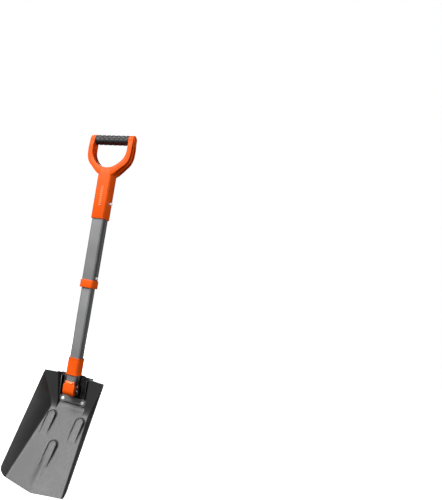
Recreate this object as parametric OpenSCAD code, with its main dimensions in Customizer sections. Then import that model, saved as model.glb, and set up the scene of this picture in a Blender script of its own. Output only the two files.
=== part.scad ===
// Folding snow shovel: D-grip handle, two-stage square shaft and hinged scoop.
// X runs across the blade, -Y faces the open side of the scoop, +Z runs up the
// shaft. The origin is the centre of the grip bar. Rest pose: extended, open.

/* [Grip] */
// Clear width between the arms of the D
hand_width = 88; // [84:1:96]
// Outside diameter of the rubber grip
grip_d = 23.2; // [20:0.2:26]
// Depth of the moulded D, front to back
d_depth = 27.5; // [22:0.5:30]

/* [Shaft] */
// Outside width of the upper tube
upper_w = 30.1; // [29.6:0.1:31]
// Outside depth of the upper tube
upper_d = 29.7; // [29.2:0.1:31]
// Outside width of the lower tube
lower_w = 25.7; // [25:0.1:26.2]
// Outside depth of the lower tube
lower_d = 26.3; // [25:0.1:26.4]
// Wall of both tubes
tube_wall = 1.2; // [1:0.1:1.4]
// Outside width of the socket under the D
socket_w = 35.8; // [35:0.1:38]
// Outside depth of the socket under the D
socket_d = 35.4; // [34:0.1:38]
// Depth from the grip to the socket's mouth
socket_mouth = 192; // [175:0.2:200]
// Depth from the grip to the end of the upper tube
upper_end = 356; // [350:1:358]

/* [Hinge and lock] */
// Depth from the grip to the hinge pin
pin_depth = 612.5; // [612:0.5:613]
// Radius of the hinge pin
pin_r = 4; // [3:0.1:4.5]
// Stroke of the lock sleeve
lock_stroke = 8; // [4:0.5:9]

/* [Scoop] */
// Angle between the scoop's floor and the shaft
floor_angle = 36.1; // [34:0.1:38]
// Thickness of the scoop's sheet
sheet = 2; // [1.5:0.1:2.5]
// Length of the floor at its side corners
floor_len = 206.2; // [180:0.2:220]
// Extra length of the floor at the middle of its front edge
tip_len = 12.7; // [5:0.1:20]
// Width of the floor at the rear crease
floor_rear_w = 104.5; // [100:0.5:110]
// Width of the floor at its front corners
floor_front_w = 156; // [140:1:170]

/* [Hidden] */
$fn = 48;

// Handle
arm_t = 12.8;                        // arm of the D, across X
arm_in = hand_width / 2;             // inner face of an arm
arm_out = arm_in + arm_t;            // outer face of an arm
boss_r = 11.9;                       // round top of an arm
core_r = 8;                          // tube inside the rubber
core_wall = 1.2;
core_end = arm_out - 4.5;            // the core stops inside the arm
plug_head = [8.6, 1.5];              // radius, thickness
bow_z = -80;                         // where the D runs into the socket
socket_top = -92;                    // full section of the socket starts here
bore_top = -96;                      // blind end of the socket's bore
slip = 0.4;                          // total play of a sliding fit
chamfer_big = 3.3;
chamfer_tube = 2.5;

// Right half of the D from the arm's top down to the socket
d_outer = [[arm_out, 0], [arm_out + 0.2, -14], [arm_out + 0.2, -28], [arm_out - 1, -42],
    [arm_out - 6.5, -55.8], [arm_out - 17, -66.6], [arm_out - 26.4, -75.6],
    [arm_out - 34.8, -83], [socket_w / 2, -89.5]];
d_inner = [[arm_in, 14], [arm_in + 0.2, 0], [arm_in + 1.1, -18], [arm_in + 0.1, -34],
    [arm_in - 6.5, -48], [arm_in - 16.8, -59], [arm_in - 29.5, -66.5], [0, -69]];

// Snap buttons
button_r = 3.5;
button_play = 0.3;
handle_button_z = -153.2;
shaft_button_z = -334.4;
handle_button_tip = 25.2;
shaft_button_tip = 20.3;
flange_r = 4.2;
handle_flange_in = 15.35;            // inner face of the handle button
shaft_flange_in = 13.2;              // inner face of the shaft button

// Tubes
upper_top = -97;
lower_top = -312;
lower_end = -604;
collar_w = 35;
collar_top = -340.3;
collar_end = -359.6;
leaf = 0.6;                          // thickness of the leaf springs

// Lock
sleeve_top = -531.7;
sleeve_end = -574.1;
sleeve_wall = 2.35;
cross_z = -553;                      // pin that ties the sleeve to the latch
cross_r = 2;
latch_foot = -604.2;                 // underside of the latch's cross head
latch_head_w = 35.2;
spring_top = -522;
spring_end = -548;

// Knuckle and bracket
pin_z = -pin_depth;
knuckle_w = 29.4;
knuckle_front = -17;
knuckle_r = 15;                      // round bottom, seen from the side
shoulder_z = -597.5;
tab_z = -590;
neck_w = 25.4;
tab_w = 15.6;
ear_in = 15.2;
ear_out = 17.7;
ear_r = 8;
plate_y = [16, 18, 20];              // clamp plate, bracket, sheet faces
rivet_x = 27.25;
rivet_z = -640.5;
rivet_r = 2.5;

// Scoop, in its own frame: u across, v down the floor, h up from the floor
crease = [0, 12.7, -661.2];          // middle of the floor's rear crease
rim_rear = [82, 58.1, -58.9];        // u, h, v
rim_front = [88.7, 18.1, 198.7];
recess_top_w = 86;
recess_low_w = 73;
recess_top_z = -576.5;
hump_z = -574.5;
tip_v = floor_len + tip_len;
floor_slope = (floor_front_w - floor_rear_w) / 2 / floor_len;
rim_du = (rim_front[0] - rim_rear[0]) / (rim_front[2] - rim_rear[2]);
rim_dh = (rim_front[1] - rim_rear[1]) / (rim_front[2] - rim_rear[2]);

// Smooth curve through points, ends included
function curve_at(a, b, c, d, t) = 0.5 * (2 * b + (c - a) * t
    + (2 * a - 5 * b + 4 * c - d) * t * t + (3 * b - a - 3 * c + d) * t * t * t);
function curve(p, steps) = [
    for (i = [0:len(p) - 2], s = [0:steps - 1])
        curve_at(p[max(i - 1, 0)], p[i], p[i + 1], p[min(i + 2, len(p) - 1)], s / steps),
    p[len(p) - 1]];
function mirrored(p) = [for (i = [len(p) - 1:-1:0]) [-p[i][0], p[i][1]]];

// Rectangle with cut corners
module cut_rect(w, d, c) {
    x = w / 2;
    y = d / 2;
    polygon([[x - c, -y], [x, -y + c], [x, y - c], [x - c, y],
        [-x + c, y], [-x, y - c], [-x, -y + c], [-x + c, -y]]);
}

// Upright bar with cut corners between two heights
module bar(w, d, c, top, bottom) {
    translate([0, 0, bottom]) linear_extrude(top - bottom) cut_rect(w, d, c);
}

// Bar with a bar-shaped bore right through
module square_tube(w, d, c, wall, top, bottom) {
    difference() {
        bar(w, d, c, top, bottom);
        bar(w - 2 * wall, d - 2 * wall, c - wall / 2, top + 1, bottom - 1);
    }
}

// Cylinder along X between two places
module x_cyl(r, from, to, z) {
    translate([from, 0, z]) rotate([0, 90, 0]) cylinder(r = r, h = to - from);
}

// Cylinder along Y between two places
module y_cyl(r, from, to, x, z) {
    translate([x, from, z]) rotate([-90, 0, 0]) cylinder(r = r, h = to - from);
}

// Extrude a front-view outline (X, Z) from one depth to another
module front_slab(from, to) {
    translate([0, to, 0]) rotate([90, 0, 0]) linear_extrude(to - from) children();
}

// Extrude a side-view outline (Y, Z) from one place across to another
module side_slab(from, to) {
    translate([from, 0, 0]) rotate([90, 0, 90]) linear_extrude(to - from) children();
}

// One moulded piece: arms, bow and socket
module d_grip_frame() {
    outer = curve(d_outer, 5);
    inner = curve(d_inner, 5);
    half = d_depth / 2;
    color("orangered") difference() {
        union() {
            front_slab(-half, half) difference() {
                polygon(concat(outer, mirrored(outer)));
                polygon(concat(inner, mirrored(inner)));
            }
            for (s = [-1, 1]) {
                x_cyl(boss_r, s > 0 ? arm_in : -arm_out, s > 0 ? arm_out : -arm_in, 0);
            }
            side_slab(-socket_w / 2, socket_w / 2)
                polygon([[-half, bow_z], [half, bow_z],
                    [socket_d / 2, socket_top], [-socket_d / 2, socket_top]]);
            bar(socket_w, socket_d, chamfer_big, socket_top, -socket_mouth);
        }
        x_cyl(core_r + 0.02, -arm_out - 1, arm_out + 1, 0);
        // flat seats for the end plugs
        for (from = [-arm_out - 2, arm_out]) x_cyl(plug_head[0] + 0.1, from, from + 2, 0);
        bar(upper_w + slip, upper_d + slip, chamfer_tube, bore_top, -socket_mouth - 1);
        x_cyl(button_r + button_play, 0, socket_w, handle_button_z);
        x_cyl(flange_r + 0.6, 0, handle_flange_in + 1.2, handle_button_z);
    }
}

module grip_core() {
    color("silver") difference() {
        x_cyl(core_r, -core_end, core_end, 0);
        x_cyl(core_r - core_wall, -core_end - 1, core_end + 1, 0);
    }
}

module grip_sleeve() {
    play = 0.1;
    color([0.08, 0.08, 0.09]) difference() {
        x_cyl(grip_d / 2, -arm_in + play, arm_in - play, 0);
        x_cyl(core_r + 0.02, -arm_in, arm_in, 0);
    }
}

// Plugs that close both ends of the crossbar
module grip_end_plugs() {
    color("orangered") for (s = [0, 180]) rotate([0, 0, s]) {
        x_cyl(core_r, core_end, arm_out, 0);
        x_cyl(plug_head[0], arm_out, arm_out + plug_head[1], 0);
    }
}

// Button with a flange inside, a stem and a bevelled tip
module snap_button(inner, tip, z) {
    bevel = 1.3;
    x_cyl(flange_r, inner, inner + 0.4, z);
    x_cyl(button_r, inner, tip - bevel, z);
    translate([tip - bevel, 0, z]) rotate([0, 90, 0])
        cylinder(r1 = button_r, r2 = button_r - bevel, h = bevel);
}

module handle_button() {
    color("silver") snap_button(handle_flange_in, handle_button_tip, handle_button_z);
}

module shaft_button() {
    color("silver") snap_button(shaft_flange_in, shaft_button_tip, shaft_button_z);
}

module upper_tube() {
    color([0.6, 0.6, 0.61]) difference() {
        square_tube(upper_w, upper_d, chamfer_tube, tube_wall, upper_top, -upper_end);
        x_cyl(flange_r + 0.6, 5, upper_w, handle_button_z);
        x_cyl(button_r + button_play, 5, upper_w, shaft_button_z);
    }
}

// Bent strip behind the handle button, inside the upper tube
module handle_button_spring() {
    color("gray") front_slab(-4, 4) polygon([[11, -158.4], [11, -148.4], [1.5, -114.4],
        [-1.5, -114.4], [-13.4, -154.4], [-13.4 + leaf, -154.4], [-1.1, -114.4 - leaf],
        [1.1, -114.4 - leaf], [11 - leaf, -148.5], [11 - leaf, -158.4]]);
}

// Bent strip behind the shaft button, inside the lower tube
module shaft_button_spring() {
    color("gray") front_slab(-4, 4) polygon([[8.6, -328], [8.6, -340], [1.2, -374],
        [-2.6, -374], [-11.3, -334], [-11.3 + leaf, -334], [-2.1, -374 + leaf],
        [0.7, -374 + leaf], [8.6 - leaf, -339.9], [8.6 - leaf, -328]]);
}

// Bush on the mouth of the upper tube
module tube_collar() {
    lip = -upper_end;
    color("orangered") difference() {
        bar(collar_w, collar_w, chamfer_big, collar_top, collar_end);
        bar(upper_w + 0.04, upper_d + 0.04, chamfer_tube, collar_top + 1, lip);
        bar(lower_w + 0.6, lower_d + 0.6, chamfer_tube, lip + 1, collar_end - 1);
    }
}

module lower_tube() {
    side = lower_w;
    color([0.6, 0.6, 0.61]) difference() {
        square_tube(lower_w, lower_d, chamfer_tube, tube_wall, lower_top, lower_end);
        x_cyl(flange_r + 0.4, 5, side, shaft_button_z);
        // slot for the cross pin
        for (z = [cross_z, cross_z + lock_stroke]) x_cyl(cross_r + 0.4, -side, side, z);
        translate([-side, -cross_r - 0.4, cross_z]) cube([2 * side, 2 * cross_r + 0.8, lock_stroke]);
        // open slots for the latch's cross head
        translate([-side, -3, lower_end - 1]) cube([2 * side, 6, 17]);
    }
}

// Plastic bush in the top of the lower tube
module guide_bush() {
    w = lower_w - 2 * tube_wall - 0.1;
    d = lower_d - 2 * tube_wall - 0.1;
    color([0.1, 0.1, 0.1]) {
        bar(upper_w - 2 * tube_wall - 0.6, upper_d - 2 * tube_wall - 0.6, 2, lower_top + 4, lower_top);
        bar(w, d, 1.9, lower_top, lower_top - 9);
    }
}

// Block at the foot of the lower tube that turns on the hinge pin
module hinge_knuckle() {
    w = knuckle_w / 2;
    back = knuckle_front + 2 * knuckle_r;
    color("orangered") difference() {
        intersection() {
            union() {
                side_slab(-w, w) union() {
                    translate([knuckle_front + knuckle_r, pin_z]) circle(r = knuckle_r);
                    translate([knuckle_front, pin_z])
                        square([2 * knuckle_r, shoulder_z - pin_z]);
                }
                // collar round the tube, with a sloping tab in front
                side_slab(-neck_w / 2, neck_w / 2)
                    polygon([[-14.8, shoulder_z - 1], [-14.8, tab_z - 1], [-13.8, tab_z],
                        [0, tab_z], [0, shoulder_z - 1]]);
                side_slab(-tab_w / 2, tab_w / 2)
                    polygon([[knuckle_front, shoulder_z - 1], [knuckle_front, shoulder_z + 3.5],
                        [-14.8, tab_z - 0.5], [0, tab_z - 0.5], [0, shoulder_z - 1]]);
            }
            front_slab(knuckle_front - 1, back + 1)
                polygon([[-w, tab_z], [w, tab_z], [w, -622.5], [w - 6, -627.5],
                    [-w + 6, -627.5], [-w, -622.5]]);
        }
        bar(lower_w + 0.1, lower_d + 0.1, chamfer_tube, tab_z + 1, lower_end);
        translate([-w - 1, -3, -604.6]) cube([knuckle_w + 2, 6, 20]);
        x_cyl(pin_r + 0.05, -w - 1, w + 1, pin_z);
    }
}

// Spring-loaded collar that lifts the latch
module lock_sleeve() {
    w = lower_w + 0.6 + 2 * sleeve_wall;
    d = lower_d + 0.6 + 2 * sleeve_wall;
    lip = [2.5, 0.4];
    color("orangered") difference() {
        union() {
            bar(w, d, chamfer_big, sleeve_top, sleeve_end);
            bar(w + 2 * lip[1], d + 2 * lip[1], chamfer_big, sleeve_top, sleeve_top - lip[0]);
            bar(w + 2 * lip[1], d + 2 * lip[1], chamfer_big, sleeve_end + lip[0], sleeve_end);
        }
        bar(lower_w + 0.6, lower_d + 0.6, chamfer_tube, sleeve_top + 1, sleeve_end - 1);
        x_cyl(cross_r + 0.02, -w / 2 + 0.4, w / 2 - 0.4, cross_z);
    }
}

module lock_cross_pin() {
    half = lower_w / 2 + 1.8;
    color("silver") x_cyl(cross_r, -half, half, cross_z);
}

// Bar inside the tube, with a cross head that drops into the bracket's notches
module latch_bar() {
    color("dimgray") difference() {
        union() {
            translate([-6, -4.5, cross_z - 5]) cube([12, 9, spring_end - cross_z + 5]);
            translate([-4, -1.5, latch_foot]) cube([8, 3, cross_z - 5 - latch_foot]);
            translate([-latch_head_w / 2, -2.5, latch_foot]) cube([latch_head_w, 5, 6]);
        }
        x_cyl(cross_r + 0.02, -10, 10, cross_z);
    }
}

// Compression spring above the latch
module lock_spring() {
    r_out = 6.6;
    wire = 1.2;
    turns = 4;
    span = 120;                       // part of a turn that one wire fills
    height = spring_top - spring_end;
    arc = [for (a = [0:40:span]) [cos(a), sin(a)]];
    back = [for (i = [len(arc) - 1:-1:0]) arc[i] * (r_out - wire)];
    color("silver") translate([0, 0, spring_end])
        linear_extrude(height, twist = -360 * turns, slices = 12 * turns, $fn = 8)
            polygon(concat(arc * r_out, back));
}

// Plug that the spring pushes against
module spring_seat() {
    w = lower_w - 2 * tube_wall - 0.1;
    d = lower_d - 2 * tube_wall - 0.1;
    color([0.1, 0.1, 0.1]) bar(w, d, 1.9, spring_top + 8, spring_top);
}

// Cheek that holds the pin, with a notch for the latch open and one folded
module cheek(from, to) {
    fold = 144;
    side_slab(from, to) difference() {
        union() {
            translate([0, pin_z]) circle(r = ear_r);
            polygon([[3, pin_z + 6.5], [plate_y[1] + 0.5, pin_z + 6.5],
                [plate_y[1] + 0.5, -630], [0, pin_z - ear_r]]);
        }
        translate([0, pin_z]) circle(r = pin_r + 0.02);
        for (a = [0, fold]) translate([0, pin_z]) rotate(a)
            translate([-2.8, 5.6]) square([5.6, 5]);
    }
}

// Grey channel riveted into the scoop's recess
module hinge_bracket() {
    half = 34;
    flange = 2;
    color([0.4, 0.4, 0.41]) difference() {
        union() {
            front_slab(plate_y[1], plate_y[2])
                polygon([[-half - flange, -583], [-22, -583], [-20, -579], [20, -579],
                    [22, -583], [half + flange, -583], [half + flange, -632],
                    [half, -650], [-half, -650], [-half - flange, -632]]);
            for (s = [0, 1]) mirror([s, 0, 0]) {
                side_slab(half, half + flange)
                    polygon([[8.8, -631.8], [plate_y[1], -631.8], [plate_y[1], -640],
                        [plate_y[2], -640], [plate_y[2], -583], [4, -583]]);
                cheek(ear_in, ear_out);
            }
        }
        for (x = [-rivet_x, rivet_x])
            y_cyl(rivet_r + 0.02, plate_y[1] - 1, plate_y[2] + 1, x, rivet_z);
        translate([20, plate_y[1] - 1, -630]) cube([12, 4, 10]);
    }
}

// Grey plate with two rounded ears, over the bracket's foot
module clamp_plate() {
    low = -647;
    ear = 9.6;
    color([0.45, 0.45, 0.46]) difference() {
        front_slab(plate_y[0], plate_y[1]) union() {
            translate([-rivet_x - ear, rivet_z]) square([2 * (rivet_x + ear), -632 - rivet_z]);
            translate([-rivet_x, low]) square([2 * rivet_x, -632 - low]);
            for (x = [-rivet_x, rivet_x]) translate([x, rivet_z]) circle(r = ear);
        }
        for (x = [-rivet_x, rivet_x])
            y_cyl(rivet_r + 0.02, plate_y[0] - 1, plate_y[1] + 1, x, rivet_z);
    }
}

// Pin with two flat heads
module hinge_pin() {
    head = [5.2, 2];
    color("silver") {
        x_cyl(pin_r, -ear_out - head[1], ear_out + head[1], pin_z);
        x_cyl(head[0], ear_out, ear_out + head[1], pin_z);
        x_cyl(head[0], -ear_out - head[1], -ear_out, pin_z);
    }
}

// Two rivets, headed on both sides of the sheet
module bracket_rivets() {
    back = plate_y[2] + sheet;
    head = [4.5, 1.5];
    color("silver") for (x = [-rivet_x, rivet_x]) {
        y_cyl(rivet_r, plate_y[0] - head[1], back + head[1], x, rivet_z);
        y_cyl(head[0], plate_y[0] - head[1], plate_y[0], x, rivet_z);
        y_cyl(head[0], back, back + head[1], x, rivet_z);
    }
}

// Place the scoop's own frame in the shovel's frame
module in_scoop() {
    translate(crease) rotate([180 - floor_angle, 0, 0]) children();
}

// Flared trough: floor and rim as two thin sheets, joined, longer than the
// scoop at its front, grown by g on every side
module trough(g) {
    far = 260;
    rim_len = far - rim_rear[2];
    lift = 1.25;                      // carries the sides past the rim
    rear_u = floor_rear_w / 2 + g * 0.7;
    far_u = rear_u + floor_slope * far;
    side_u = function(low, rim) low + (rim - low) * lift;
    rear = [side_u(rear_u, rim_rear[0] + g), rim_rear[1] * lift, rim_rear[2] * lift - g];
    front = [side_u(far_u, rim_rear[0] + g + rim_du * rim_len),
        (rim_rear[1] + rim_dh * rim_len) * lift, far + g];
    hull() polyhedron(
        points = [[-rear_u, -g, -g * 0.4], [rear_u, -g, -g * 0.4], [far_u, -g, far], [-far_u, -g, far],
            [-rear[0], rear[1], rear[2] - g * 0.4], [rear[0], rear[1], rear[2] - g * 0.4],
            [front[0], front[1], front[2]], [-front[0], front[1], front[2]]],
        faces = [[0, 1, 2, 3], [7, 6, 5, 4], [0, 4, 5, 1], [1, 5, 6, 2], [2, 6, 7, 3], [3, 7, 4, 0]]);
}

// Front-view outline of the recess, grown by g
module recess_outline(g) {
    low = -690;
    top = recess_top_z;
    polygon([[-recess_top_w / 2 - g, top], [recess_top_w / 2 + g, top],
        [recess_low_w / 2 + g, -645], [recess_low_w / 2 + g, low],
        [-recess_low_w / 2 - g, low], [-recess_low_w / 2 - g, -645]]);
}

// Raised stiffening rib on the floor, steep at its rear and running out in front
module rib(u, from, to) {
    half = 11.5;
    top_half = 6;
    height = 5;
    hull() polyhedron(
        points = [[u - half, -1, from], [u + half, -1, from], [u + half, -1, to], [u - half, -1, to],
            [u - top_half, height, from + 5], [u + top_half, height, from + 5], [u, 0.5, to]],
        faces = [[0, 1, 2, 3], [4, 5, 6], [0, 4, 5, 1], [1, 5, 6, 2], [2, 6, 3], [3, 6, 4, 0]]);
}

// One pressed sheet: floor, flared sides, rear wall with a recess, three ribs
module blade() {
    big = 400;
    corner_u = floor_front_w / 2 + 1;  // just outside the fold between floor and side
    rim_angle = atan2(rim_rear[1] - rim_front[1], rim_front[2] - rim_rear[2]);
    color([0.55, 0.55, 0.56]) difference() {
        union() {
            intersection() {
                difference() {
                    in_scoop() trough(sheet);
                    in_scoop() trough(0);
                }
                // trim along the rim
                in_scoop() translate([-big / 2, rim_rear[1], rim_rear[2]]) rotate([rim_angle, 0, 0])
                    translate([0, -big, -big / 2]) cube([big, big, 2 * big]);
                // trim to the outline, seen square to the floor
                in_scoop() translate([0, big / 2, 0]) rotate([90, 0, 0]) linear_extrude(big)
                    polygon([[-120, -90], [120, -90], [120, rim_front[2] - 12],
                        [rim_front[0], rim_front[2]], [corner_u, floor_len],
                        [0, tip_v], [-corner_u, floor_len],
                        [-rim_front[0], rim_front[2]], [-120, rim_front[2] - 12]]);
            }
            difference() {
                front_slab(-5, plate_y[2] + sheet) union() {
                    recess_outline(sheet);
                    translate([-22, recess_top_z - 5]) square([44, hump_z - recess_top_z + 5]);
                }
                in_scoop() translate([-big / 2, -big - sheet, -big / 2]) cube(big);
                in_scoop() trough(0);
                // open the hump in front of the recess's back wall
                front_slab(-6, plate_y[2]) translate([-25, recess_top_z]) square([50, 10]);
            }
            in_scoop() {
                for (u = [-39.5, 39.5]) rib(u, 15.5, 78);
                rib(0, 87.5, 150);
            }
        }
        // hollow of the recess, down to the floor
        intersection() {
            front_slab(-60, plate_y[2]) recess_outline(0);
            in_scoop() translate([-big / 2, 0, -100]) cube([big, big, 99]);
        }
        // open the top of the recess, and drill for the rivets
        front_slab(-60, plate_y[2])
            translate([-recess_top_w / 2, recess_top_z - 0.5]) square([recess_top_w, 30]);
        for (x = [-rivet_x, rivet_x])
            y_cyl(rivet_r + 0.02, plate_y[2] - 1, plate_y[2] + sheet + 1, x, rivet_z);
    }
}

d_grip_frame();
grip_core();
grip_sleeve();
grip_end_plugs();
handle_button();
upper_tube();
handle_button_spring();
tube_collar();
shaft_button();
lower_tube();
guide_bush();
shaft_button_spring();
hinge_knuckle();
lock_sleeve();
lock_cross_pin();
latch_bar();
lock_spring();
spring_seat();
hinge_bracket();
clamp_plate();
hinge_pin();
bracket_rivets();
blade();
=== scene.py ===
"""Looks of the folding snow shovel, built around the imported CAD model.

Lengths are in millimetres unless a comment says otherwise, and are scaled by MM when a
mesh is made. X runs across the scoop, -Y towards its open side, +Z up the shaft, and the
origin is the centre of the grip.
"""

import math

import bmesh
import bpy
from mathutils import Matrix, Vector


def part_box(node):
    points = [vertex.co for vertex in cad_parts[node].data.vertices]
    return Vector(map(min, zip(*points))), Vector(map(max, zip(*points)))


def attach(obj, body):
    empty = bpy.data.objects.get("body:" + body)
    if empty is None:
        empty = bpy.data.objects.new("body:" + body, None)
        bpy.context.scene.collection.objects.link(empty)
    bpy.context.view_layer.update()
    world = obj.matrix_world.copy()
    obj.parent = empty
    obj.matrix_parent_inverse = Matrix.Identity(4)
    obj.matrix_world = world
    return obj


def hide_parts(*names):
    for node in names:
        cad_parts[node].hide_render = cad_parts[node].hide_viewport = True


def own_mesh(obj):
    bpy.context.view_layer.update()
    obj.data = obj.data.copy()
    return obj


MM = 0.001
SAME_PLACE = 1e-7                        # metres within which two points are one
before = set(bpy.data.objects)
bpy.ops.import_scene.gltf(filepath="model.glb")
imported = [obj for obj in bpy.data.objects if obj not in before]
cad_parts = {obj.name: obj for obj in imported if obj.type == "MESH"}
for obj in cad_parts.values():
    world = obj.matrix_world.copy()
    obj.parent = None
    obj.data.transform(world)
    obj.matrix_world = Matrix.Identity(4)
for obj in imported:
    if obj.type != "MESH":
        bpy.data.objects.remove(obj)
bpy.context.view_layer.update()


# ---------------------------------------------------------------- geometry help

def size_mm(node):
    """Lowest and highest corner of a CAD node, in millimetres."""
    low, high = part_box(node)
    return low / MM, high / MM


def clamp(x):
    """x, held between 0 and 1."""
    return max(0.0, min(1.0, x))


def smooth_step(a, b, x):
    """0 at a, 1 at b, smooth in between; a may be above b."""
    t = clamp((x - a) / (b - a))
    return t * t * (3 - 2 * t)


def lerp(a, b, t):
    """a at t = 0, b at t = 1, on a straight line between."""
    return a + (b - a) * t


def smooth_max(a, b, k):
    """Larger of a and b, rounded off where they are within k of each other."""
    gap = max(k - abs(a - b), 0.0)
    return max(a, b) + gap * gap / (4 * k)


def catmull(points, steps):
    """Smooth curve through 2D points, both ends included."""
    out = []
    for i in range(len(points) - 1):
        a, b = Vector(points[max(i - 1, 0)]), Vector(points[i])
        c, d = Vector(points[i + 1]), Vector(points[min(i + 2, len(points) - 1)])
        for s in range(steps):
            t = s / steps
            out.append(0.5 * (2 * b + (c - a) * t + (2 * a - 5 * b + 4 * c - d) * t * t
                              + (3 * b - a - 3 * c + d) * t ** 3))
    out.append(Vector(points[-1]))
    return out


def resample(points, count):
    """The same line with count points at equal distances."""
    reach = [0.0]
    for a, b in zip(points, points[1:]):
        reach.append(reach[-1] + (b - a).length)
    out, i = [], 0
    for n in range(count):
        want = reach[-1] * n / (count - 1)
        while i < len(points) - 2 and reach[i + 1] < want:
            i += 1
        out.append(points[i].lerp(points[i + 1], (want - reach[i]) / (reach[i + 1] - reach[i])))
    return out


def rounded(corners, radius, steps=3):
    """Convex outline with every corner turned into an arc."""
    longest = 0.48                       # most of a side that one arc may use
    out = []
    for i, corner in enumerate(corners):
        p, a, b = Vector(corner), Vector(corners[i - 1]), Vector(corners[(i + 1) % len(corners)])
        to_a, to_b = (a - p).normalized(), (b - p).normalized()
        half = to_a.angle(to_b) / 2
        reach = min(radius / math.tan(half), longest * (a - p).length, longest * (b - p).length)
        bow = reach * math.tan(half)
        centre = p + (to_a + to_b).normalized() * math.hypot(reach, bow)
        start, end = p + to_a * reach - centre, p + to_b * reach - centre
        for s in range(steps + 1):
            out.append(centre + start.slerp(end, s / steps))
    return out


def cut_outline(width, depth, cut, fillet):
    """Rectangle with cut corners, softly rounded."""
    x, y = width / 2, depth / 2
    return rounded([(x - cut, -y), (x, -y + cut), (x, y - cut), (x - cut, y),
                    (-x + cut, y), (-x, y - cut), (-x, -y + cut), (-x + cut, -y)], fillet)


def new_object(name, verts, faces):
    """Mesh object from millimetre points, with its normals outwards."""
    mesh = bpy.data.meshes.new(name)
    mesh.from_pydata([Vector(v) * MM for v in verts], [], faces)
    build = bmesh.new()
    build.from_mesh(mesh)
    bmesh.ops.remove_doubles(build, verts=build.verts, dist=SAME_PLACE)
    bmesh.ops.recalc_face_normals(build, faces=build.faces)
    build.to_mesh(mesh)
    build.free()
    obj = bpy.data.objects.new(name, mesh)
    bpy.context.scene.collection.objects.link(obj)
    return obj


def loft(name, rings, closed=False):
    """Solid through rings with equal counts; closed joins the last ring to the first."""
    n = len(rings[0])
    faces = []
    for r in range(len(rings) if closed else len(rings) - 1):
        a, b = r * n, (r + 1) % len(rings) * n
        faces += [(a + i, a + (i + 1) % n, b + (i + 1) % n, b + i) for i in range(n)]
    if not closed:
        faces += [tuple(reversed(range(n))), tuple(range(len(rings) * n - n, len(rings) * n))]
    return new_object(name, [p for ring in rings for p in ring], faces)


def lathe(name, profile, centre, axis, around=40):
    """Solid of revolution. profile is (radius, distance along axis), from axis to axis."""
    on_axis = 1e-6                       # a smaller radius is a point on the axis
    turn = Vector((0, 0, 1)).rotation_difference(Vector(axis)).to_matrix()
    verts, rows = [], []
    for r, along in profile:
        count = 1 if r < on_axis else around
        rows.append(range(len(verts), len(verts) + count))
        for i in range(count):
            angle = math.tau * i / around
            local = Vector((r * math.cos(angle), r * math.sin(angle), along))
            verts.append(Vector(centre) + turn @ local)
    faces = []
    for low, high in zip(rows, rows[1:]):
        for i in range(around):
            j = (i + 1) % around
            quad = [low[i % len(low)], low[j % len(low)], high[j % len(high)], high[i % len(high)]]
            face = list(dict.fromkeys(quad))
            if len(face) > 2:
                faces.append(face)
    return new_object(name, verts, faces)


def arc(centre_r, centre_t, radius, start, end, steps=6):
    """Points (radius, distance) of an arc for a lathe profile, angles in degrees."""
    out = []
    for s in range(steps + 1):
        angle = math.radians(lerp(start, end, s / steps))
        out.append((centre_r + radius * math.cos(angle), centre_t + radius * math.sin(angle)))
    return out


def bake(obj):
    """Replace the object's mesh with what its modifiers make of it."""
    shape = obj.evaluated_get(bpy.context.evaluated_depsgraph_get())
    mesh = bpy.data.meshes.new_from_object(shape)
    obj.modifiers.clear()
    obj.data = mesh


def bevel(obj, width, segments, angle):
    """Round the edges that turn by more than angle degrees."""
    modifier = obj.modifiers.new("bevel", "BEVEL")
    modifier.width = width * MM
    modifier.segments = segments
    modifier.limit_method = "ANGLE"
    modifier.angle_limit = math.radians(angle)
    modifier.miter_outer = "MITER_ARC"
    bake(obj)


def combine(obj, *others, operation="UNION"):
    """Boolean of obj with the others, which are used up."""
    for other in others:
        modifier = obj.modifiers.new("boolean", "BOOLEAN")
        modifier.operation = operation
        modifier.solver = "EXACT"
        modifier.object = other
        bake(obj)
        bpy.data.objects.remove(other)


def soften(node, width, angle, segments=2):
    """Copy of a CAD node with its flat faces merged and its edges rounded."""
    near, flat = 2e-6, math.radians(1.0)
    obj = bpy.data.objects.new(node + "_visual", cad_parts[node].data.copy())
    bpy.context.scene.collection.objects.link(obj)
    obj.data.materials.clear()
    build = bmesh.new()
    build.from_mesh(obj.data)
    bmesh.ops.remove_doubles(build, verts=build.verts, dist=near)
    bmesh.ops.dissolve_limit(build, angle_limit=flat, verts=build.verts, edges=build.edges)
    build.to_mesh(obj.data)
    build.free()
    bevel(obj, width, segments, angle)
    return obj


def place(obj, body, nodes, material, sharp=32):
    """Finish a piece: shading, material, body, and the CAD nodes it stands for.

    Edges that turn by more than sharp degrees are shaded as edges.
    """
    obj.data.shade_smooth()
    obj.data.set_sharp_from_angle(angle=math.radians(sharp))
    obj.data.materials.clear()
    obj.data.materials.append(material)
    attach(obj, body)
    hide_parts(*nodes)


# -------------------------------------------------------------------- materials

def shader(name, color, roughness, metallic=0.0, **sockets):
    """Principled material and its node tree. sockets are constants on the shader."""
    material = bpy.data.materials.new(name)
    material.use_nodes = True
    tree = material.node_tree
    bsdf = tree.nodes["Principled BSDF"]
    bsdf.inputs["Base Color"].default_value = (*color, 1)
    bsdf.inputs["Roughness"].default_value = roughness
    bsdf.inputs["Metallic"].default_value = metallic
    for socket, value in sockets.items():
        bsdf.inputs[socket.replace("_", " ")].default_value = value
    return material, tree, bsdf


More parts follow.
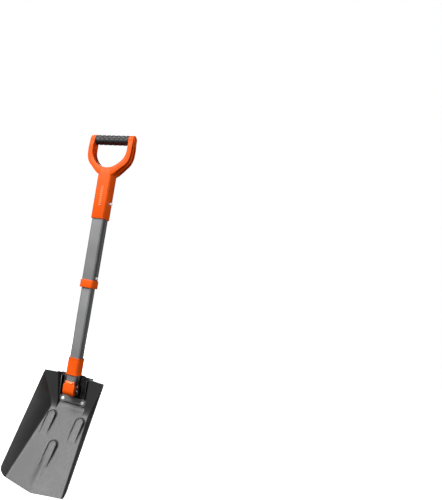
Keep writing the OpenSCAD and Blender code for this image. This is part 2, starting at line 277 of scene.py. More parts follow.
def noise(tree, scale, detail=3.0, stretch=(1, 1, 1)):
    """Noise over the object's own coordinates, stretched along an axis by small values."""
    coords = tree.nodes.new("ShaderNodeTexCoord")
    mapping = tree.nodes.new("ShaderNodeMapping")
    mapping.inputs["Scale"].default_value = stretch
    texture = tree.nodes.new("ShaderNodeTexNoise")
    texture.inputs["Scale"].default_value = scale
    texture.inputs["Detail"].default_value = detail
    tree.links.new(coords.outputs["Object"], mapping.inputs["Vector"])
    tree.links.new(mapping.outputs["Vector"], texture.inputs["Vector"])
    return texture.outputs["Fac"]


def spread(tree, value, low, high, from_low=0.3, from_high=0.7):
    """Map a 0 to 1 texture value to a range."""
    node = tree.nodes.new("ShaderNodeMapRange")
    node.inputs["From Min"].default_value = from_low
    node.inputs["From Max"].default_value = from_high
    node.inputs["To Min"].default_value = low
    node.inputs["To Max"].default_value = high
    tree.links.new(value, node.inputs["Value"])
    return node.outputs["Result"]


def tint(tree, value, dark, light):
    """Mix two colours by a texture value."""
    node = tree.nodes.new("ShaderNodeMix")
    node.data_type = "RGBA"
    node.inputs["A"].default_value = (*dark, 1)
    node.inputs["B"].default_value = (*light, 1)
    tree.links.new(value, node.inputs["Factor"])
    return node.outputs["Result"]


def bump(tree, bsdf, height, distance, strength=0.5):
    """Fine relief from a texture value; distance is in millimetres."""
    node = tree.nodes.new("ShaderNodeBump")
    node.inputs["Strength"].default_value = strength
    node.inputs["Distance"].default_value = distance * MM
    tree.links.new(height, node.inputs["Height"])
    tree.links.new(node.outputs["Normal"], bsdf.inputs["Normal"])


def painted_edge_shade(tree, bsdf, color, keep, start=0.62, end=0.93):
    """Painted shade: base colour that falls to keep of itself where the surface turns away from the
    view, from start to end.
    """
    weight = tree.nodes.new("ShaderNodeLayerWeight")
    weight.inputs["Blend"].default_value = 0.5
    fall = spread(tree, weight.outputs["Facing"], 1.0, keep, start, end)
    scale = tree.nodes.new("ShaderNodeVectorMath")
    scale.operation = "SCALE"
    tree.links.new(color, scale.inputs["Vector"])
    tree.links.new(fall, scale.inputs["Scale"])
    tree.links.new(scale.outputs["Vector"], bsdf.inputs["Base Color"])


def vary_roughness(tree, bsdf, value, low, high):
    """Roughness between low and high, by a texture value."""
    tree.links.new(spread(tree, value, low, high), bsdf.inputs["Roughness"])


def scaled(color, factor):
    """The colour, brighter or darker."""
    return tuple(min(c * factor, 1) for c in color)


def moulded_plastic(name, color, roughness):
    """Injection-moulded plastic: fine spark-eroded grain, slightly uneven gloss, and painted shade
    where the surface turns away.
    """
    material, tree, bsdf = shader(name, color, roughness, IOR=1.5, Specular_IOR_Level=0.12)
    broad = spread(tree, noise(tree, scale=22), 0, 1)
    mottled = tint(tree, broad, scaled(color, 0.95), scaled(color, 1.04))
    painted_edge_shade(tree, bsdf, mottled, keep=0.25, start=0.55, end=0.85)
    vary_roughness(tree, bsdf, noise(tree, scale=60), roughness - 0.04, roughness + 0.05)
    bump(tree, bsdf, noise(tree, scale=900, detail=2), distance=0.012)
    return material


def rubber(name, color):
    """Matt rubber with a fine pebble, a little bloom, and painted shade where the surface turns away.
    """
    material, tree, bsdf = shader(name, color, roughness=0.62)
    broad = spread(tree, noise(tree, scale=60, detail=4), 0, 1)
    bloom = tuple(c * 1.7 + 0.006 for c in color)
    painted_edge_shade(tree, bsdf, tint(tree, broad, color, bloom), keep=0.3)
    vary_roughness(tree, bsdf, noise(tree, scale=300), 0.5, 0.72)
    bump(tree, bsdf, noise(tree, scale=1800, detail=2), distance=0.06)
    return material


def coated_metal(name, color, roughness, metallic, along=(1, 1, 1), edge=(0.55, 0.86)):
    """Grey coat over metal: fine streaks along the part, a soft unevenness of tone, and painted shade
    where the surface turns away; edge gives where that painted shade starts and ends.
    """
    material, tree, bsdf = shader(name, color, roughness, metallic)
    streaks = noise(tree, scale=420, detail=5, stretch=along)
    blotch = spread(tree, noise(tree, scale=18, detail=4), 0, 1)
    mottled = tint(tree, blotch, scaled(color, 0.90), scaled(color, 1.10))
    start, end = edge
    painted_edge_shade(tree, bsdf, mottled, keep=0.06, start=start, end=end)
    vary_roughness(tree, bsdf, streaks, roughness - 0.03, roughness + 0.04)
    bump(tree, bsdf, streaks, distance=0.003, strength=0.3)
    return material


def plated_metal(name, color, roughness, metallic=1.0):
    """Bright plated steel with faint handling marks."""
    material, tree, bsdf = shader(name, color, roughness, metallic)
    vary_roughness(tree, bsdf, noise(tree, scale=260, detail=5), roughness - 0.08, roughness + 0.12)
    bump(tree, bsdf, noise(tree, scale=700), distance=0.01)
    return material


ORANGE = moulded_plastic("orange_plastic", (0.84, 0.098, 0.004), 0.46)
# Paler orange: the raised marks' own colour, and a painted highlight on the hinge block's tab.
MARK_AND_HIGHLIGHT_ORANGE = moulded_plastic("mark_and_painted_highlight_orange", (0.95, 0.25, 0.09), 0.42)
RUBBER = rubber("grip_rubber", (0.010, 0.010, 0.011))
# The tubes' painted shade starts early, which draws dark outlines down their sides.
TUBE = coated_metal("grey_tube", (0.205, 0.206, 0.21), 0.5, 0.0, (1, 1, 0.03), edge=(0.3, 0.85))
SHEET = coated_metal("grey_sheet", (0.042, 0.042, 0.0423), 0.45, 0.2, (1, 0.3, 0.3))
PLATE = coated_metal("grey_plate", (0.19, 0.19, 0.195), 0.38, 0.3)
# Near-black grey: painted shade on the bracket's base, which sits in the shadowed pocket.
PAINTED_SHADE_PLATE = coated_metal("painted_shade_plate", (0.022, 0.022, 0.023), 0.45, 0.3)
# Near-white and barely metallic: plated steel with its highlight painted over the whole dome.
GLINT_WHITE_STEEL = plated_metal("plated_steel", (0.97, 0.97, 0.96), 0.34, 0.1)
SPRING = plated_metal("spring_steel", (0.42, 0.42, 0.43), 0.35)
BARE = coated_metal("bare_tube", (0.6, 0.6, 0.6), 0.3, 0.9, (0.03, 1, 1))
BLACK = moulded_plastic("black_plastic", (0.015, 0.015, 0.015), 0.5)


# ----------------------------------------------------------------------- handle

CENTRE = (0, 0, 0)                       # middle of the grip
ARM = (44.0, 56.8)                       # inner and outer face of an arm, across X
BOSS_R = 11.88                           # round top of an arm
D_FRONT = 13.75                          # half of the D's depth, front to back
GRIP_BORE = 8.02                         # radius of the hole for the tube through the grip
SOCKET = (35.8, 35.4, 3.3)               # width, depth, cut corner
SOCKET_MOUTH = -192.0
SOCKET_BORE = (30.5, 30.1, 2.6)          # width, depth, cut corner
BORE_TOP = -96.0

# Right half of the D from the arm's top to the middle of the bow (X, Z)
D_OUTER = [(56.8, 0), (57.0, -14), (57.0, -28), (55.8, -42), (50.3, -55.8), (39.8, -66.6),
           (30.4, -75.6), (21.5, -83.2), (11, -88.5), (0, -90)]
D_INNER = [(44.0, 0), (45.1, -18), (44.1, -34), (37.5, -48), (27.2, -59), (14.5, -66.5), (0, -69)]


def d_section(inner, outer, half, groove):
    """One section of the D, from its inner edge to its grooved outer edge."""
    width = (outer - inner).length
    out = (outer - inner).normalized()
    soft, flange = 1.6, 0.9                  # rounding of the inner and of the outer edge
    bend = 0.3                               # share of a rounding that its middle point stands in
    rib, lip = 3.6, half - 2.2               # half widths of the middle rib and of the groove
    rib_drop = 0.7 * min(groove, 1)          # the rib stands this much below the outer edge
    front = [(0, -half + soft), (bend * soft, -half + bend * soft), (soft, -half),
             (width - flange, -half), (width - bend * flange, -half + bend * flange),
             (width, -half + flange), (width, -lip), (width - groove, -lip + 0.5),
             (width - groove, -rib - 0.8), (width - rib_drop, -rib)]
    ring = []
    for across, y in front + [(across, -y) for across, y in reversed(front)]:
        p = inner + out * across
        ring.append((p.x, y, p.y))
    return ring


def d_ring():
    """The arms and bow, swept from one arm's top round to the other's."""
    count, curve_steps = 44, 8
    groove_depth, least_depth = 4.2, 0.1
    groove_in, groove_out = (0.08, 0.14), (0.86, 0.78)    # shares of the way round a half
    bow_z, top_z = (-52, -84), (-20, -1)     # the depth changes between these heights
    bow_half, top_half = SOCKET[1] / 2 - 0.4, BOSS_R - 0.25
    outer = resample(catmull(D_OUTER, curve_steps), count)
    inner = resample(catmull(D_INNER, curve_steps), count)
    sections = []
    for i in range(count):
        t, z = i / (count - 1), outer[i].y
        half = lerp(D_FRONT, bow_half, smooth_step(*bow_z, z))
        half = lerp(half, top_half, smooth_step(*top_z, z))
        grooved = smooth_step(*groove_in, t) * smooth_step(*groove_out, t)
        sections.append(d_section(inner[i], outer[i], half, least_depth + groove_depth * grooved))
    mirrored = [[(-x, y, z) for x, y, z in ring] for ring in sections[-2::-1]]
    return loft("d_ring", sections + mirrored)


def arm_boss(side):
    """Round top of one arm."""
    inner_soft, outer_soft, around = 0.8, 2.2, 56
    low, high = ARM
    profile = [(0, low), *arc(BOSS_R - inner_soft, low + inner_soft, inner_soft, -90, 0, 3),
               *arc(BOSS_R - outer_soft, high - outer_soft, outer_soft, 0, 90), (0, high)]
    return lathe("arm_boss", profile, CENTRE, (side, 0, 0), around)


def socket_body():
    """Square socket with cut corners and a soft mouth; its bore is cut later."""
    w, d, cut = SOCKET
    fillet = 1.3
    rings = []
    for z, inset in ((-79, 1.6), (-83, 0.5), (-88, 0), (-130, 0), (SOCKET_MOUTH + 1.2, 0),
                     (SOCKET_MOUTH + 0.35, 0.35), (SOCKET_MOUTH, 1.1)):
        outline = cut_outline(w - 2 * inset, d - 2 * inset, cut, fillet)
        rings.append([(p.x, p.y, z) for p in outline])
    return loft("socket", rings)


def socket_bore():
    """Blind bore of the socket, to be cut from it."""
    fillet, past_mouth = 0.6, 3
    outline = cut_outline(*SOCKET_BORE, fillet)
    levels = (SOCKET_MOUTH - past_mouth, BORE_TOP)
    return loft("bore", [[(p.x, p.y, z) for p in outline] for z in levels])


def mark_bars():
    """Short raised bars on the socket's front, in place of lettering."""
    count, pitch, top = 11, 4.4, -115.5
    long_side, short_side, proud = 6.6, 1.6, 0.3
    sunk, edge, fillet = 0.5, 0.3, 0.5       # depth of the foot, bevel and corner of a bar
    x, y = 0.8, -SOCKET[1] / 2
    corners = ((-1, -1), (1, -1), (1, 1), (-1, 1))
    pieces = []
    for i in range(count):
        z = top - pitch * i
        reach = long_side / 2 * (1.0 if i % 3 else 0.8)
        rings = []
        for level, inset in ((y + sunk, 0), (y - proud * 0.5, 0), (y - proud, edge)):
            half_x, half_z = reach - inset, short_side / 2 - inset
            outline = rounded([(a * half_x, b * half_z) for a, b in corners], fillet)
            rings.append([(x + p.x, level, z + p.y) for p in outline])
        pieces.append(loft("mark", rings))
    return pieces


def grip_cutters():
    """What is cut from the D and its socket: plug seats, button hole, grip tube and bore."""
    past_arm, seat_r, seat_x = 60, 8.7, ARM[1] - 0.01
    hole_r, mouth_r = 3.8, 4.6
    start, taper, mouth, end = 5, 16.4, 17.2, 20          # X of the button hole's steps
    low, high = size_mm("handle_button")
    button = (0, 0, (low.z + high.z) / 2)
    seat = [(0, seat_x), (seat_r, seat_x), (seat_r, past_arm), (0, past_arm)]
    seats = [lathe("seat", seat, CENTRE, (side, 0, 0)) for side in (1, -1)]
    hole = [(0, start), (hole_r, start), (hole_r, taper), (mouth_r, mouth), (mouth_r, end), (0, end)]
    core = [(0, -past_arm), (GRIP_BORE, -past_arm), (GRIP_BORE, past_arm), (0, past_arm)]
    return [*seats, lathe("hole", hole, button, (1, 0, 0), 32),
            lathe("core", core, CENTRE, (1, 0, 0)), socket_bore()]


def make_d_grip_frame():
    """The D with its socket, and the raised marks on the socket."""
    obj = d_ring()
    combine(obj, arm_boss(1), arm_boss(-1), socket_body())
    combine(obj, *grip_cutters(), operation="DIFFERENCE")
    obj.name = "d_grip_frame_visual"
    place(obj, "handle", ["d_grip_frame"], ORANGE)
    for i, mark in enumerate(mark_bars()):
        mark.name = "raised_mark_" + str(i)
        place(mark, "handle", ["d_grip_frame"], MARK_AND_HIGHLIGHT_ORANGE)


def make_end_plugs():
    """Shallow domed plugs with a ring groove, one in each end of the crossbar."""
    shank_r, head_r, edge = 7.9, 8.5, 0.8
    depth, head_t = 4.5, 1.5
    groove, groove_t = (6.2, 5.9, 5.3, 5.0), 0.4
    inner, face = ARM[1] - depth, ARM[1] + head_t
    for side, tag in ((1, "right"), (-1, "left")):
        profile = [(0, inner), (shank_r, inner), (shank_r, ARM[1]), (head_r, ARM[1] + 0.05),
                   *arc(head_r - edge, face - edge, edge, 0, 90, 4),
                   (groove[0], face), (groove[1], face - groove_t), (groove[2], face - groove_t),
                   (groove[3], face), (0, face)]
        obj = lathe("grip_end_plug_" + tag, profile, CENTRE, (side, 0, 0), 48)
        place(obj, "handle", ["grip_end_plugs"], ORANGE, 40)


def pad_height(x, angle, radius):
    """Height of the grip's pad pattern, 0 to 1: staggered rows of ovals."""
    rows, pitch = 6, 12.7
    half_long, half_wide = 5.9, 5.7
    best = 0.0
    for row in range(rows):
        centre = math.tau * row / rows
        ds = ((angle - centre + math.pi) % math.tau - math.pi) * radius
        shift = pitch / 2 * (row % 2)
        dx = (x - shift + pitch / 2) % pitch - pitch / 2
        best = max(best, smooth_step(1.0, 0.72, math.hypot(dx / half_long, ds / half_wide)))
    return best


def make_grip_sleeve():
    """Rubber sleeve with raised pads between two plain rims."""
    low, high = size_mm("grip_sleeve")
    length, radius = high.x - low.x, high.z
    relief, rim = 0.75, 2.2
    end_round, end_drop = 0.7, 0.6
    along, around = 230, 132
    angles = [math.tau * j / around for j in range(around)]
    rings = []
    for i in range(along + 1):
        x = low.x + length * i / along
        edge = min(x - low.x, high.x - x)
        band = smooth_step(rim + 0.8, rim, edge)
        fade = smooth_step(rim + 1.0, rim + 2.2, edge)
        drop = end_drop * (1 - math.sqrt(1 - (1 - clamp(edge / end_round)) ** 2))
        ring = []
        for angle in angles:
            r = radius - relief * (1 - max(band, pad_height(x, angle, radius) * fade)) - drop
            ring.append((x, r * math.sin(angle), r * math.cos(angle)))
        rings.append(ring)
    for x in (high.x, low.x):
        rings.append([(x, GRIP_BORE * math.sin(a), GRIP_BORE * math.cos(a)) for a in angles])
    obj = loft("grip_sleeve_visual", rings, closed=True)
    place(obj, "handle", ["grip_sleeve"], RUBBER, 50)


def make_button(node, body):
    """Snap button with a polished dome."""
    low, high = size_mm(node)
    r, dome = 3.5, 1.9
    flange_r, flange_t = 4.2, 0.4
    profile = [(0, low.x), (flange_r, low.x), (flange_r, low.x + flange_t), (r, low.x + flange_t),
               (r, high.x - dome), *arc(r - dome, high.x - dome, dome, 0, 90, 8), (0, high.x)]
    obj = lathe(node + "_visual", profile, (0, 0, (low.z + high.z) / 2), (1, 0, 0), 36)
    place(obj, body, [node], GLINT_WHITE_STEEL, 45)


# ------------------------------------------------------------- shaft and hinge

def hollow_bar(name, outer, bore, stations, fillet):
    """Bar with a bore right through. stations are (z, inset of the outside), bottom first."""
    bore_fillet = 0.8
    w, d, cut = outer
    rings = []
    for z, inset in stations:
        outline = cut_outline(w - 2 * inset, d - 2 * inset, cut, fillet)
        rings.append([(p.x, p.y, z) for p in outline])
    for z in (stations[-1][0], stations[0][0]):
        rings.append([(p.x, p.y, z) for p in cut_outline(*bore, bore_fillet)])
    return loft(name, rings, closed=True)


def soft_ends(low, high, soft):
    """Stations of a plain bar whose two ends are rounded by soft."""
    turns = [math.radians(degrees) for degrees in (0, 30, 60, 90)]
    steps = [(soft * (1 - math.cos(a)), soft * (1 - math.sin(a))) for a in turns]
    bottom = [(low + dz, inset) for dz, inset in steps]
    return bottom + [(high - dz, inset) for dz, inset in reversed(steps)]


def make_tubes():
    """Both tubes from their CAD shapes, with rounder corners."""
    obj = soften("upper_tube", width=1.0, angle=20, segments=3)
    place(obj, "upper_shaft", ["upper_tube"], TUBE)
    obj = soften("lower_tube", width=0.9, angle=20, segments=3)
    place(obj, "lower_shaft", ["lower_tube"], TUBE)


def make_collar():
    """Plain collar round the mouth of the upper tube."""
    low, high = size_mm("tube_collar")
    outer = (high.x - low.x, high.y - low.y, 3.4)    # width, depth, cut corner
    bore = (30.14, 29.74, 2.5)
    obj = hollow_bar("tube_collar_visual", outer, bore, soft_ends(low.z, high.z, 1.0), 1.4)
    place(obj, "upper_shaft", ["tube_collar"], ORANGE)


def make_lock_sleeve():
    """Sleeve with a raised lip at each end."""
    low, high = size_mm("lock_sleeve")
    outer = (high.x - low.x, high.y - low.y, 3.3)    # width, depth, cut corner
    bore = (26.3, 26.9, 2.5)
    lip, step = 2.6, 0.55
    end = [(0, 0.5), (0.15, 0.15), (0.5, 0), (lip - 0.5, 0), (lip, step)]    # distance in, inset
    stations = [(low.z + dz, inset) for dz, inset in end]
    stations += [(high.z - dz, inset) for dz, inset in reversed(end)]
    obj = hollow_bar("lock_sleeve_visual", outer, bore, stations, 1.2)
    place(obj, "lock", ["lock_sleeve"], ORANGE, 28)


def bracket_flange(side):
    """Side flange of the bracket, with a round front edge."""
    inner, outer, back = 34.0, 36.0, 19.9
    front_top, front_low, top, low = 4.0, 8.8, -583.0, -631.8
    stations = ((top, front_top + 0.6), (top - 0.8, front_top), (low + 2, front_low),
                (low, front_low + 2.5))              # height, and where the front edge is there
    edge = ((0.0, 0.9), (0.3, 0.25), (1.0, 0.0))     # inner half of the round edge: across, back
    rings = []
    for z, front in stations:
        ring = [(side * inner, back, z)]
        ring += [(side * (inner + across), front + dy, z) for across, dy in edge]
        ring += [(side * (outer - across), front + dy, z) for across, dy in reversed(edge[:2])]
        rings.append(ring + [(side * outer, back, z)])
    return loft("bracket_flange_" + ("right" if side > 0 else "left"), rings)


def make_bracket():
    """Base and cheeks from the CAD shape in near-black, painted shade for its pocket, and a flange on
    each side of it: the left in the plate's grey, the right in the sheet's darker grey as painted
    shade.
    """
    flange_x, past = 34.02, 60               # where the flanges start; a length past everything
    front, back, low, high = -20, 40, -700, -560
    base = soften("hinge_bracket", width=0.4, angle=40)
    sides = []
    for side in (1, -1):
        corners = [(side * flange_x, front), (side * past, front),
                   (side * past, back), (side * flange_x, back)]
        sides.append(loft("cut", [[(x, y, z) for x, y in corners] for z in (low, high)]))
    combine(base, *sides, operation="DIFFERENCE")
    place(base, "scoop", ["hinge_bracket"], PAINTED_SHADE_PLATE)
    # Left flange in the lit plate grey; right flange in the darker sheet grey as painted shade.
    place(bracket_flange(-1), "scoop", ["hinge_bracket"], PLATE, 50)
    place(bracket_flange(1), "scoop", ["hinge_bracket"], SHEET, 50)


def make_knuckle():
    """Hinge block; the up- and forward-facing faces of its sloping tab get a painted highlight in
    paler orange.
    """
    knuckle = soften("hinge_knuckle", width=0.9, angle=30)
    place(knuckle, "lower_shaft", ["hinge_knuckle"], ORANGE)
    knuckle.data.materials.append(MARK_AND_HIGHLIGHT_ORANGE)
    forward, upward = -0.15, 0.3             # a face whose normal leans more than this gets the painted highlight
    for face in knuckle.data.polygons:
        if face.normal.y < forward and face.normal.z > upward:
            face.material_index = 1


def make_clamp_plate():
    """Plate with two ears under the bracket's foot."""
    obj = soften("clamp_plate", width=0.5, angle=40)
    place(obj, "scoop", ["clamp_plate"], PLATE)


def make_latch_bar():
    """Bar with a cross head that the orange sleeve lifts."""
    obj = soften("latch_bar", width=0.3, angle=40)
    place(obj, "lock", ["latch_bar"], SPRING)


def make_hinge_pin():
    """Pin with a rounded head at each end."""
    low, high = size_mm("hinge_pin")
    z = (low.z + high.z) / 2
    head, head_t, shank, edge = high.z - z, 2, 4, 1.2
    profile = [(0, low.x), *arc(head - edge, low.x + edge, edge, -90, 0, 5), (head, low.x + head_t),
               (shank, low.x + head_t), (shank, high.x - head_t), (head, high.x - head_t),
               *arc(head - edge, high.x - edge, edge, 0, 90, 5), (0, high.x)]
    obj = lathe("hinge_pin_visual", profile, (0, 0, z), (1, 0, 0))
    place(obj, "scoop", ["hinge_pin"], SPRING, 45)


def make_rivets():
    """Two domed rivets through plate, bracket and sheet."""
    low, high = size_mm("bracket_rivets")
    head, head_t, shank = 4.5, 1.5, 2.5
    z = (low.z + high.z) / 2
    turns = [math.radians(degrees) for degrees in range(0, 91, 15)]
    dome = [(head * math.sin(a), head_t * (1 - math.cos(a))) for a in turns]
    profile = [(r, low.y + t) for r, t in dome]
    profile += [(shank, low.y + head_t), (shank, high.y - head_t)]
    profile += [(r, high.y - t) for r, t in reversed(dome)]
    for side, tag in ((1, "right"), (-1, "left")):
        x = side * (high.x - head)
        obj = lathe("bracket_rivet_" + tag, profile, (x, 0, z), (0, 1, 0), 32)
        place(obj, "scoop", ["bracket_rivets"], GLINT_WHITE_STEEL, 45)


def make_lock_spring():
    """Round-wire coil, made at one length; in the shovel it shortens as the latch lifts."""
    low, high = size_mm("lock_spring")
    wire, turns, around, steps = 0.6, 5.5, 10, 28
    r = high.x - wire
    span = high.z - low.z - 2 * wire
    section = [math.tau * k / around for k in range(around)]
    rings = []
    for i in range(int(turns * steps) + 1):
        angle = math.tau * i / steps
        rise = low.z + wire + span * i / (turns * steps)
        side, up = Vector((math.cos(angle), math.sin(angle), 0)), Vector((0, 0, 1))
        centre = side * r + up * rise
        rings.append([centre + wire * (side * math.cos(a) + up * math.sin(a)) for a in section])
    obj = loft("lock_spring_visual", rings)
    place(obj, "lower_shaft", ["lock_spring"], SPRING, 60)
    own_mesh(obj)


# ------------------------------------------------------------------------ scoop

# u runs across the scoop, v down its floor from the rear crease, and height is square to
# the floor.
FLOOR_ANGLE = math.radians(36.1)
CREASE = Vector((0, 12.7, -661.2))       # middle of the floor's rear crease
DOWN = Vector((0, -math.sin(FLOOR_ANGLE), -math.cos(FLOOR_ANGLE)))
UP = Vector((0, -math.cos(FLOOR_ANGLE), math.sin(FLOOR_ANGLE)))
SHEET_T = 2.0
FLOOR_LEN, TIP_LEN = 206.2, 12.7         # to the corners, and from there to the tip of the V
FLOOR_REAR, FLOOR_FRONT = 52.25, 78.0    # half widths of the floor
RIM_REAR = (82.0, 58.1, -58.9)           # u, height and v of the rim's rear end
RIM_FRONT = (88.7, 18.1, 198.7)
RECESS_TOP, RECESS_LOW = 43.0, 36.5      # half widths of the recess
RECESS_BACK = 20.0                       # Y of its back wall
RECESS_RIM = -72.7                       # v of its upper edge
RECESS_CREASE = -12.4                    # v where its back wall meets the floor
WALL_STEP = 2.2                          # width in u of the recess's steep side walls
WALL_TOP = -60.6                         # v of the rear wall's edge beside the recess
HUMP_TOP = -74.4                         # v of the edge of the hump behind the tube
RIB_HALF = 11.2                          # half width of a rib
SIDE_RIBS = (39.5, 15.4, 82, 4.6)        # u, v of both ends, height
FRONT_RIB = (0, 87.4, 156, 4.8)


def along_rim(v):
    """Half width and height of the rim at v."""
    t = (v - RIM_REAR[2]) / (RIM_FRONT[2] - RIM_REAR[2])
    return lerp(RIM_REAR[0], RIM_FRONT[0], t), lerp(RIM_REAR[1], RIM_FRONT[1], t)


def recess_half(v):
    """Half width of the recess at v."""
    t = clamp((RECESS_CREASE - v) / (RECESS_CREASE - RECESS_RIM))
    return lerp(RECESS_LOW, RECESS_TOP, t)


def rib_height(u, v, centre, start, end, height, under):
    """A rib with a steep round rear end that runs out towards the front.

    A shallow groove follows its foot. under is 1 on the underside, where the same shape is
    narrower and softer, and 0 on the open face.
    """
    half, edge = RIB_HALF - 1.2 * under, 2.0 + 1.6 * under
    groove_depth, groove_width = 1.9 - 0.5 * under, 1.25 + under
    groove_d, crown_drop = RIB_HALF + 0.4, 0.10
    round_end = start + RIB_HALF
    d = math.hypot(u - centre, min(v - round_end, 0))    # distance from the rib's middle line
    fall = clamp(1 - (v - round_end) / (end - round_end))
    crown = 1 - crown_drop * (d / RIB_HALF) ** 2
    groove = groove_depth * math.exp(-((d - groove_d) / groove_width) ** 2)
    return fall * (height * crown * smooth_step(half, half - edge, d) - groove)


def ribs_height(u, v, under=0):
    """Height of all three ribs, 0 away from them."""
    ribs = (SIDE_RIBS, (-SIDE_RIBS[0], *SIDE_RIBS[1:]), FRONT_RIB)
    return sum(rib_height(u, v, *rib, under) for rib in ribs)


def floor_crown(u, v):
    """Gentle swelling of the floor towards its tip, with a low ridge down its middle."""
    swell_height, swell_half = 1.6, 70
    ridge_height, ridge_half = 1.3, 9
    swell = smooth_step(95, 190, v) * (1 - clamp(abs(u) / swell_half) ** 1.5)
    ridge = math.exp(-(u / ridge_half) ** 2) * smooth_step(120, 150, v) * smooth_step(219, 170, v)
    return swell_height * swell + ridge_height * ridge


def scoop_height(u, v, ribs):
    """Height of the sheet's open face above the floor plane. ribs is the ribs' share of it."""
    side_u, half = abs(u), recess_half(v)
    rim_u, rim_h = along_rim(v)
    floor_u = lerp(FLOOR_REAR, FLOOR_FRONT, v / FLOOR_LEN)
    side = rim_h * (side_u - floor_u) / (rim_u - floor_u)
    recess = (CREASE.y - RECESS_BACK - math.sin(FLOOR_ANGLE) * v) / math.cos(FLOOR_ANGLE)
    outside = smooth_step(half, half + WALL_STEP, side_u)    # 0 in the recess, 1 beside it
    rear = lerp(recess, -v, outside)
    rear_fillet, side_fillet = lerp(9, 13, outside), 3.5
    floor = floor_crown(u, v) + ribs
    return smooth_max(smooth_max(floor, rear, rear_fillet), side, side_fillet)


def sheet_point(u, v, ribs=0.0):
    """Point on the sheet's open face."""
    return CREASE + Vector((u, 0, 0)) + DOWN * v + UP * scoop_height(u, v, ribs)


def rear_v(kind, t):
    """v of the sheet's upper edge for a column. kind is its zone, t its place in it."""
    if kind == "recess":
        return lerp(HUMP_TOP, RECESS_RIM, smooth_step(0.46, 0.56, t))
    if kind == "step":
        return lerp(RECESS_RIM, WALL_TOP, t)
    return lerp(WALL_TOP, RIM_REAR[2], t)


def front_v(u):
    """v of the front edge: a shallow V, and a round corner at the side walls."""
    side_u = abs(u)
    if side_u <= FLOOR_FRONT:
        return FLOOR_LEN + TIP_LEN * (1 - side_u / FLOOR_FRONT)
    slant, corner = 3, 14                    # how far the edge draws back up the side wall
    q = clamp((side_u - FLOOR_FRONT) / (RIM_FRONT[0] - FLOOR_FRONT))
    return FLOOR_LEN - slant * q - corner * (1 - math.sqrt(1 - q * q))


def scoop_columns():
    """Columns of the sheet from its left to its right rim: zone, place in it and side."""
    half = [("recess", 0.0)]
    for kind, count in (("recess", 34), ("step", 6), ("outer", 52)):
        half += [(kind, (i + 1) / count) for i in range(count)]
    return [(*spot, -1) for spot in reversed(half[1:])] + [(*spot, 1) for spot in half]


def column_u(kind, t, v):
    """Distance of a column from the middle at v."""
    half = recess_half(v)
    if kind == "recess":
        return half * t
    if kind == "step":
        return half + WALL_STEP * t
    return lerp(half + WALL_STEP, along_rim(v)[0], t)


def scoop_grid():
    """(u, v) of the sheet's points, column by column, and how many rows a column has."""
    rear_rows, floor_rows = 50, 170
    turn_v, front = 8.0, 200.0               # where the spacing changes; where the ends are read
    grid = []
    for kind, t, side in scoop_columns():
        top, end = rear_v(kind, t), front_v(column_u(kind, t, front))
        down = [lerp(top, turn_v, row / rear_rows) for row in range(rear_rows)]
        down += [lerp(turn_v, end, row / floor_rows) for row in range(floor_rows + 1)]
        grid += [(side * column_u(kind, t, v), v) for v in down]
    return grid, rear_rows + floor_rows + 1


def grid_faces(count, rows):
    """Quads of a grid of count points."""
    starts = [a for a in range(count - rows) if a % rows < rows - 1]
    return [(a, a + 1, a + rows + 1, a + rows) for a in starts]


def grid_rim(count, rows):
    """Indices of the grid's border, in order round it."""
    last = count - rows
    return [*range(rows), *range(2 * rows - 1, count, rows),
            *range(count - 2, last - 1, -1), *range(last - rows, 0, -rows)]


def sheet_normals(points, faces):
    """Normals of a sheet at its points, towards the open side of the scoop."""
    sheet = new_object("bare_sheet", points, faces)
    normals = [n.vector.copy() for n in sheet.data.vertex_normals]
    bpy.data.objects.remove(sheet)
    if normals[len(normals) // 2].dot(UP) < 0:
        normals = [-n for n in normals]
    return normals


def make_blade():
    """The pressed sheet: an open face, an underside SHEET_T below it and soft edges."""
    grid, rows = scoop_grid()
    count, faces = len(grid), grid_faces(len(grid), rows)
    bare = [sheet_point(u, v) for u, v in grid]
    normals = sheet_normals(bare, faces)
    open_face = [sheet_point(u, v, ribs_height(u, v)) for u, v in grid]
    under = [p - n * SHEET_T + UP * ribs_height(u, v, 1)
             for p, n, (u, v) in zip(bare, normals, grid)]
    rim = grid_rim(count, rows)
    faces += [tuple(i + count for i in reversed(face)) for face in faces]
    faces += [(a, b, b + count, a + count) for a, b in zip(rim, rim[1:] + rim[:1])]
    obj = new_object("blade_visual", open_face + under, faces)
    bevel(obj, width=0.5, segments=2, angle=55)
    place(obj, "scoop", ["blade"], SHEET, 75)


# -------------------------------------------------- CAD nodes that stay as made

def finish_cad_nodes():
    """Nodes whose CAD shape is right get only a better material."""
    kept = {"grip_core": BARE, "handle_button_spring": SPRING, "shaft_button_spring": SPRING,
            "lock_cross_pin": GLINT_WHITE_STEEL, "guide_bush": BLACK, "spring_seat": BLACK}
    for node, material in kept.items():
        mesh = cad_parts[node].data
        mesh.materials.clear()
        mesh.materials.append(material)


# ------------------------------------------------------- camera, floor, lights

AIM = Vector((0, 0, -390.5)) * MM        # point on the shaft that the view is set up around
VIEW_AZIMUTH = math.radians(27.3)        # camera stands to the right of the front
VIEW_HEIGHT = math.radians(1.8)
VIEW_ROLL = math.radians(9.62)
VIEW_DISTANCE = 1.325                    # metres
VIEW_SIDESTEP = -0.0032
LENS_MM = 39.30
SHIFT = (0.2719, 0.1005)

LIGHT_AIM = Vector((0, 0, -0.45))        # the shovel's middle, metres
LIGHT_DISTANCE, LIGHT_SIZE = 4.0, 1.6    # metres
# Name, degrees round from the front to the right, degrees up, watts
LIGHTS = [("high_key", -30, 60, 106), ("key", -30, 35, 165), ("low_front", 4, 8, 36),
          ("right_side", 100, 10, 60), ("right_low", 80, 0, 25), ("back_left", -145, 30, 110)]
AMBIENT = 0.01


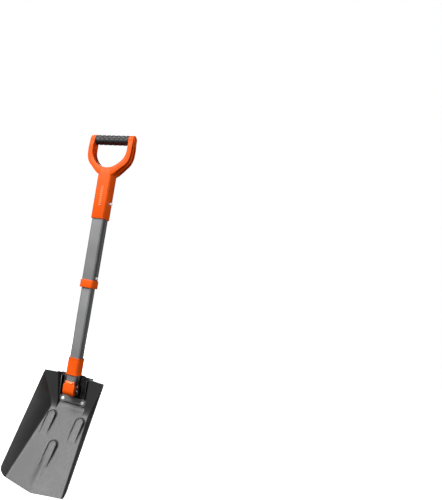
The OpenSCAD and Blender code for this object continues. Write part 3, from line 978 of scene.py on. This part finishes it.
def make_camera():
    """Camera to the right of the front, rolled so that the shaft leans to the right."""
    right = Vector((math.cos(VIEW_AZIMUTH), math.sin(VIEW_AZIMUTH), 0))
    ahead = Vector((-math.sin(VIEW_AZIMUTH) * math.cos(VIEW_HEIGHT),
                    math.cos(VIEW_AZIMUTH) * math.cos(VIEW_HEIGHT), -math.sin(VIEW_HEIGHT)))
    up = right.cross(ahead)
    data = bpy.data.cameras.new("camera")
    data.lens = LENS_MM
    data.shift_x, data.shift_y = SHIFT
    camera = bpy.data.objects.new("camera", data)
    bpy.context.scene.collection.objects.link(camera)
    spin = Matrix.Rotation(-VIEW_ROLL, 3, ahead)
    axes = Matrix((spin @ right, spin @ up, -ahead)).transposed()
    eye = AIM - ahead * VIEW_DISTANCE + right * VIEW_SIDESTEP
    camera.matrix_world = Matrix.Translation(eye) @ axes.to_4x4()
    bpy.context.scene.camera = camera


def make_floor():
    """Plain pale floor under the scoop's lowest point. It glows, so that it looks nearly white."""
    low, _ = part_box("blade")
    reach, glow = 6.0, 0.96
    mesh = bpy.data.meshes.new("floor")
    mesh.from_pydata([(-reach, -reach, low.z), (reach, -reach, low.z),
                      (reach, reach, low.z), (-reach, reach, low.z)], [], [(0, 1, 2, 3)])
    floor = bpy.data.objects.new("floor", mesh)
    bpy.context.scene.collection.objects.link(floor)
    material, _, bsdf = shader("pale_floor", (0.5, 0.5, 0.5), 0.8)
    bsdf.inputs["Emission Color"].default_value = (1, 1, 1, 1)
    bsdf.inputs["Emission Strength"].default_value = glow
    mesh.materials.append(material)
    floor.visible_diffuse = False
    floor.visible_glossy = False


def area_light(name, azimuth, height, power):
    """Square soft light aimed at the shovel's middle."""
    turn, rise = math.radians(azimuth), math.radians(height)
    away = Vector((math.sin(turn) * math.cos(rise), -math.cos(turn) * math.cos(rise), math.sin(rise)))
    data = bpy.data.lights.new(name, "AREA")
    data.shape = "SQUARE"
    data.size = LIGHT_SIZE
    data.energy = power
    light = bpy.data.objects.new(name, data)
    light.location = LIGHT_AIM + away * LIGHT_DISTANCE
    light.rotation_euler = away.to_track_quat("Z", "Y").to_euler()
    bpy.context.scene.collection.objects.link(light)


def background(tree, strength):
    """White background of the given strength."""
    node = tree.nodes.new("ShaderNodeBackground")
    node.inputs["Color"].default_value = (1, 1, 1, 1)
    node.inputs["Strength"].default_value = strength
    return node


def make_world():
    """White surroundings that only the camera sees; they light the shovel very little."""
    world = bpy.data.worlds.new("studio")
    world.use_nodes = True
    bpy.context.scene.world = world
    tree = world.node_tree
    path = tree.nodes.new("ShaderNodeLightPath")
    mix = tree.nodes.new("ShaderNodeMixShader")
    tree.links.new(path.outputs["Is Camera Ray"], mix.inputs["Fac"])
    tree.links.new(background(tree, AMBIENT).outputs["Background"], mix.inputs[1])
    tree.links.new(background(tree, 1.0).outputs["Background"], mix.inputs[2])
    tree.links.new(mix.outputs["Shader"], tree.nodes["World Output"].inputs["Surface"])


make_d_grip_frame()
make_end_plugs()
make_grip_sleeve()
make_button("handle_button", "handle_button")
make_button("shaft_button", "shaft_button")
make_tubes()
make_collar()
make_lock_sleeve()
make_knuckle()
make_bracket()
make_clamp_plate()
make_latch_bar()
make_hinge_pin()
make_rivets()
make_lock_spring()
make_blade()
finish_cad_nodes()
make_camera()
make_floor()
make_world()
for light in LIGHTS:
    area_light(*light)
bpy.context.scene.view_settings.view_transform = "Standard"
